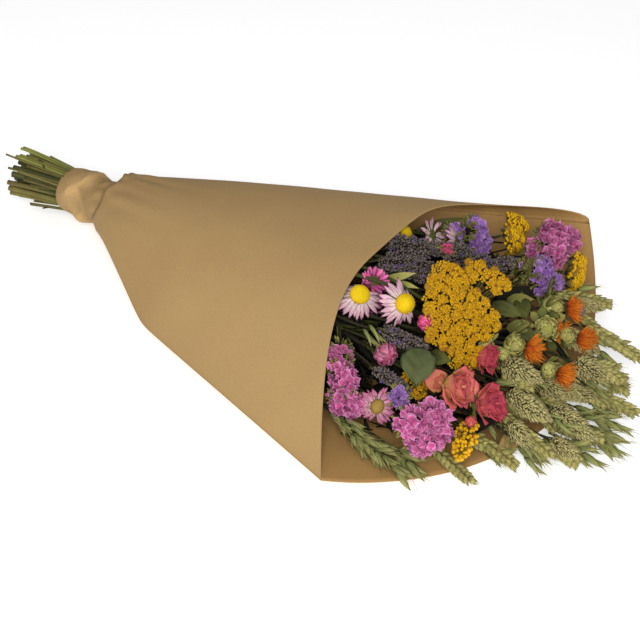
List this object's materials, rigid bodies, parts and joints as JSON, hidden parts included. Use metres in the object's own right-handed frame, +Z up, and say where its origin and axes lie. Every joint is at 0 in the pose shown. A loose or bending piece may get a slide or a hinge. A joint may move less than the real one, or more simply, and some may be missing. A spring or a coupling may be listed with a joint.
{
  "type": "mixed flower bouquet",
  "caption": "Mixed bouquet of dried flowers and grasses lying in a cone of plain brown kraft paper, stems bound at the narrow end.",
  "frame": {"origin": "on the surface that the bouquet lies on, in the middle of the flat underside of the paper cone", "axes": "+X along the bouquet from the cut stem ends to the flowers, +Y to the side, +Z up"},
  "size_m": [0.6646, 0.394, 0.1181],
  "materials": {
    "kraft_paper": "plain unbleached kraft paper, matt, with fine flecks and soft creases",
    "twine": "matt raffia cord wound round the stems",
    "dried_stem": "dried olive green to brown stalks and leaves, matt, finely ribbed",
    "lavender": "grey violet dried calyces, felted",
    "wheat": "green straw, satin husks",
    "phalaris": "sage beige overlapping scales, matt",
    "oat": "sage green papery husks",
    "yarrow_gold": "golden yellow dried florets, velvety, with darker centres",
    "yellow_disc": "lemon yellow granular flower centre",
    "pale_pink_petal": "thin dry petals, white at the base and pink at the tip",
    "deep_pink_petal": "thin dry deep pink petals",
    "pink_statice": "ruffled papery lilac magenta florets",
    "purple_statice": "ruffled papery violet florets",
    "rose_coral": "dried coral petals with magenta edges, matt",
    "strawflower_pink": "stiff shiny pink bracts",
    "safflower_orange": "fine orange florets",
    "helichrysum_gold": "small golden flower balls"
  },
  "bodies": {
    "root": {"binding": "twine", "daisy_disc_1": "yellow_disc", "daisy_disc_2": "yellow_disc", "daisy_disc_3": "yellow_disc", "daisy_disc_4": "yellow_disc", "daisy_petals_1": "pale_pink_petal", "daisy_petals_2": "pale_pink_petal", "daisy_petals_3": "pale_pink_petal", "daisy_petals_4": "pale_pink_petal", "daisy_petals_5": "deep_pink_petal", "daisy_stem_1": "dried_stem", "daisy_stem_2": "dried_stem", "daisy_stem_3": "dried_stem", "daisy_stem_4": "dried_stem", "daisy_stem_5": "dried_stem", "helichrysum": "helichrysum_gold", "helichrysum_stem": "dried_stem", "lavender_1": "lavender", "lavender_2": "lavender", "lavender_3": "lavender", "lavender_4": "lavender", "oat_1": "oat", "oat_2": "oat", "paper_collar": "kraft_paper", "paper_cone": "kraft_paper", "phalaris_1": "phalaris", "phalaris_2": "phalaris", "pink_statice_1": "pink_statice", "pink_statice_2": "pink_statice", "pink_statice_3": "pink_statice", "pink_statice_stem_1": "dried_stem", "pink_statice_stem_2": "dried_stem", "purple_statice_1": "purple_statice", "purple_statice_2": "purple_statice", "purple_statice_stem": "dried_stem", "rose_1": "rose_coral", "rose_2": "rose_coral", "rose_bud": "rose_coral", "rose_stem": "dried_stem", "safflower_1": "safflower_orange", "safflower_2": "safflower_orange", "safflower_3": "safflower_orange", "safflower_4": "safflower_orange", "safflower_stem_1": "dried_stem", "safflower_stem_2": "dried_stem", "strawflower_1": "strawflower_pink", "strawflower_2": "strawflower_pink", "strawflower_stem": "dried_stem", "wheat_1": "wheat", "wheat_2": "wheat", "wheat_3": "wheat", "wheat_4": "wheat", "yarrow_1": "yarrow_gold", "yarrow_2": "yarrow_gold", "yarrow_3": "yarrow_gold", "yarrow_4": "yarrow_gold", "yarrow_stem_1": "dried_stem", "yarrow_stem_2": "dried_stem", "yarrow_stem_3": "dried_stem", "yarrow_stem_4": "dried_stem"}
  },
  "joints": []
}
